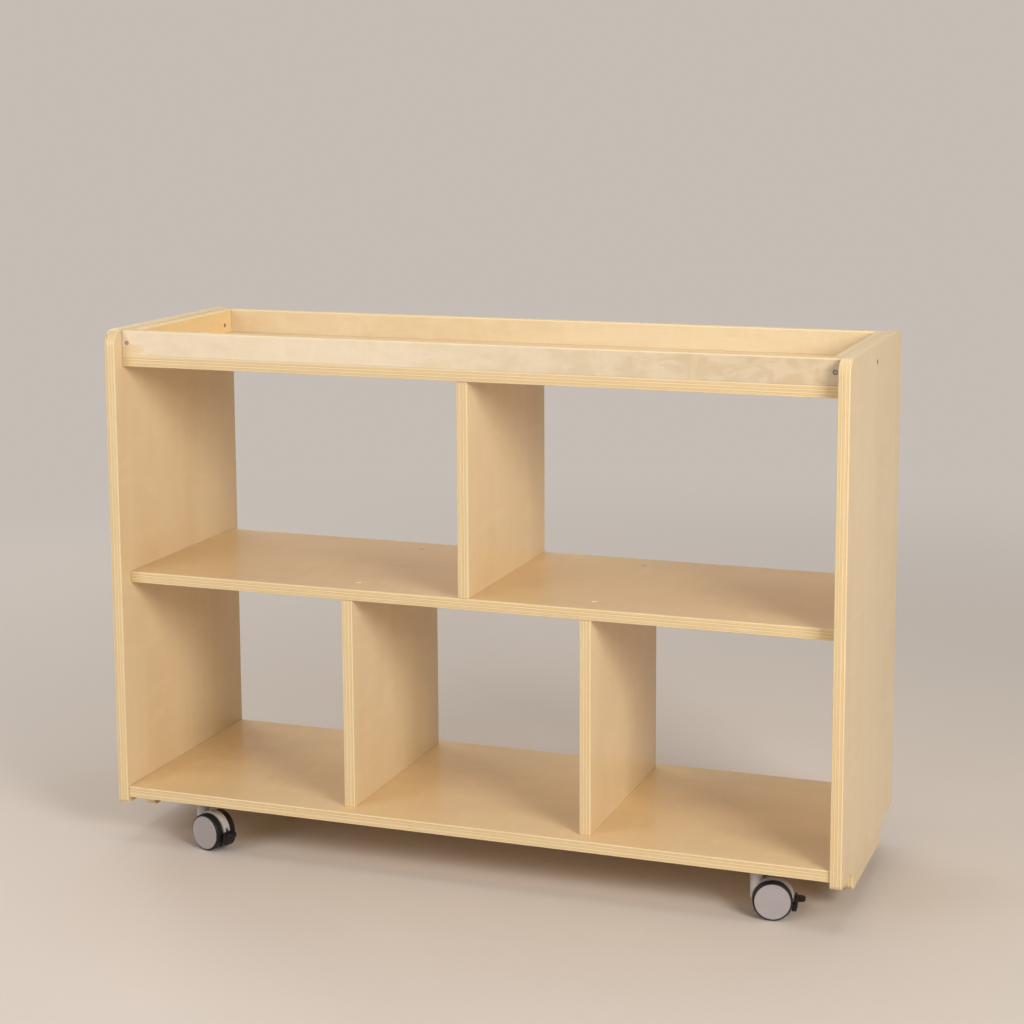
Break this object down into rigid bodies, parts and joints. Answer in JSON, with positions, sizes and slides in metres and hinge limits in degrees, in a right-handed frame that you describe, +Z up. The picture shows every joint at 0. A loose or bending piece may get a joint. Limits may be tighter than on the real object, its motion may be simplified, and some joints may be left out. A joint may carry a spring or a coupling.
{
  "type": "mobile classroom shelf",
  "caption": "Low open-backed plywood classroom shelf with bays on two tiers, a rimmed tray on top and braked twin-wheel casters.",
  "frame": {"origin": "on the floor under the middle of the shelf, at the centre of the bounding box's base", "axes": "+X along the width towards the right side panel, -Y towards the front, +Z up"},
  "size_m": [1.2, 0.41, 0.85],
  "materials": {
    "birch_ply": "satin clear lacquer",
    "birch_rail": "satin clear lacquer",
    "dowel_wood": "raw",
    "plug_wood": "satin clear lacquer",
    "screw_steel": "zinc plated",
    "dark_screw": "black oxide",
    "caster_steel": "zinc plated",
    "housing_grey": "satin",
    "wheel_black": "matte",
    "cap_grey": "satin",
    "lever_black": "satin"
  },
  "bodies": {
    "shelf": {"side_panel_left": "birch_ply", "side_panel_right": "birch_ply", "bottom_shelf": "birch_ply", "middle_shelf": "birch_ply", "top_shelf": "birch_ply", "upper_divider": "birch_ply", "lower_divider_left": "birch_ply", "lower_divider_right": "birch_ply", "tray_front_rail": "birch_rail", "tray_back_rail": "birch_rail", "tray_end_rail_left": "birch_rail", "tray_end_rail_right": "birch_rail", "shelf_dowels": "dowel_wood", "divider_screws": "screw_steel", "screw_plugs": "plug_wood", "tray_corner_screws": "screw_steel", "tray_end_screws": "screw_steel", "side_panel_screws": "dark_screw", "tray_floor_screws": "screw_steel", "caster_plate_screws": "screw_steel", "front_left_plate": "caster_steel", "front_left_kingpin": "caster_steel", "front_right_plate": "caster_steel", "front_right_kingpin": "caster_steel", "rear_left_plate": "caster_steel", "rear_left_kingpin": "caster_steel", "rear_right_plate": "caster_steel", "rear_right_kingpin": "caster_steel"},
    "front_left_caster": {"front_left_housing": "housing_grey", "front_left_axle": "caster_steel"},
    "front_left_outer_wheel_set": {"front_left_outer_wheel": "wheel_black", "front_left_outer_cap": "cap_grey"},
    "front_left_inner_wheel_set": {"front_left_inner_wheel": "wheel_black", "front_left_inner_cap": "cap_grey"},
    "front_left_brake": {"front_left_brake_lever": "lever_black"},
    "front_right_caster": {"front_right_housing": "housing_grey", "front_right_axle": "caster_steel"},
    "front_right_outer_wheel_set": {"front_right_outer_wheel": "wheel_black", "front_right_outer_cap": "cap_grey"},
    "front_right_inner_wheel_set": {"front_right_inner_wheel": "wheel_black", "front_right_inner_cap": "cap_grey"},
    "front_right_brake": {"front_right_brake_lever": "lever_black"},
    "rear_left_caster": {"rear_left_housing": "housing_grey", "rear_left_axle": "caster_steel"},
    "rear_left_outer_wheel_set": {"rear_left_outer_wheel": "wheel_black", "rear_left_outer_cap": "cap_grey"},
    "rear_left_inner_wheel_set": {"rear_left_inner_wheel": "wheel_black", "rear_left_inner_cap": "cap_grey"},
    "rear_left_brake": {"rear_left_brake_lever": "lever_black"},
    "rear_right_caster": {"rear_right_housing": "housing_grey", "rear_right_axle": "caster_steel"},
    "rear_right_outer_wheel_set": {"rear_right_outer_wheel": "wheel_black", "rear_right_outer_cap": "cap_grey"},
    "rear_right_inner_wheel_set": {"rear_right_inner_wheel": "wheel_black", "rear_right_inner_cap": "cap_grey"},
    "rear_right_brake": {"rear_right_brake_lever": "lever_black"}
  },
  "joints": [
    {"name": "front_left_swivel", "type": "hinge", "parent": "shelf", "child": "front_left_caster", "pos_m": [-0.465, -0.167, 0.06], "axis": [0, 0, 1], "continuous": true},
    {"name": "front_left_outer_wheel_spin", "type": "hinge", "parent": "front_left_caster", "child": "front_left_outer_wheel_set", "pos_m": [-0.44217, -0.17442, 0.03], "axis": [0.309, 0.9511, 0], "continuous": true},
    {"name": "front_left_inner_wheel_spin", "type": "hinge", "parent": "front_left_caster", "child": "front_left_inner_wheel_set", "pos_m": [-0.44217, -0.17442, 0.03], "axis": [0.309, 0.9511, 0], "continuous": true},
    {"name": "front_left_brake_press", "type": "hinge", "parent": "front_left_caster", "child": "front_left_brake", "pos_m": [-0.42125, -0.18121, 0.034], "axis": [0.309, 0.9511, 0], "range_deg": [0, 10]},
    {"name": "front_right_swivel", "type": "hinge", "parent": "shelf", "child": "front_right_caster", "pos_m": [0.465, -0.167, 0.06], "axis": [0, 0, 1], "continuous": true},
    {"name": "front_right_outer_wheel_spin", "type": "hinge", "parent": "front_right_caster", "child": "front_right_outer_wheel_set", "pos_m": [0.48848, -0.16201, 0.03], "axis": [-0.2079, 0.9781, 0], "continuous": true},
    {"name": "front_right_inner_wheel_spin", "type": "hinge", "parent": "front_right_caster", "child": "front_right_inner_wheel_set", "pos_m": [0.48848, -0.16201, 0.03], "axis": [-0.2079, 0.9781, 0], "continuous": true},
    {"name": "front_right_brake_press", "type": "hinge", "parent": "front_right_caster", "child": "front_right_brake", "pos_m": [0.50999, -0.15744, 0.034], "axis": [-0.2079, 0.9781, 0], "range_deg": [0, 10]},
    {"name": "rear_left_swivel", "type": "hinge", "parent": "shelf", "child": "rear_left_caster", "pos_m": [-0.465, 0.167, 0.06], "axis": [0, 0, 1], "continuous": true},
    {"name": "rear_left_outer_wheel_spin", "type": "hinge", "parent": "rear_left_caster", "child": "rear_left_outer_wheel_set", "pos_m": [-0.44118, 0.16407, 0.03], "axis": [0.1219, 0.9925, 0], "continuous": true},
    {"name": "rear_left_inner_wheel_spin", "type": "hinge", "parent": "rear_left_caster", "child": "rear_left_inner_wheel_set", "pos_m": [-0.44118, 0.16407, 0.03], "axis": [0.1219, 0.9925, 0], "continuous": true},
    {"name": "rear_left_brake_press", "type": "hinge", "parent": "rear_left_caster", "child": "rear_left_brake", "pos_m": [-0.41934, 0.16139, 0.034], "axis": [0.1219, 0.9925, 0], "range_deg": [0, 10]},
    {"name": "rear_right_swivel", "type": "hinge", "parent": "shelf", "child": "rear_right_caster", "pos_m": [0.465, 0.167, 0.06], "axis": [0, 0, 1], "continuous": true},
    {"name": "rear_right_outer_wheel_spin", "type": "hinge", "parent": "rear_right_caster", "child": "rear_right_outer_wheel_set", "pos_m": [0.48871, 0.17075, 0.03], "axis": [-0.1564, 0.9877, 0], "continuous": true},
    {"name": "rear_right_inner_wheel_spin", "type": "hinge", "parent": "rear_right_caster", "child": "rear_right_inner_wheel_set", "pos_m": [0.48871, 0.17075, 0.03], "axis": [-0.1564, 0.9877, 0], "continuous": true},
    {"name": "rear_right_brake_press", "type": "hinge", "parent": "rear_right_caster", "child": "rear_right_brake", "pos_m": [0.51043, 0.1742, 0.034], "axis": [-0.1564, 0.9877, 0], "range_deg": [0, 10]}
  ]
}
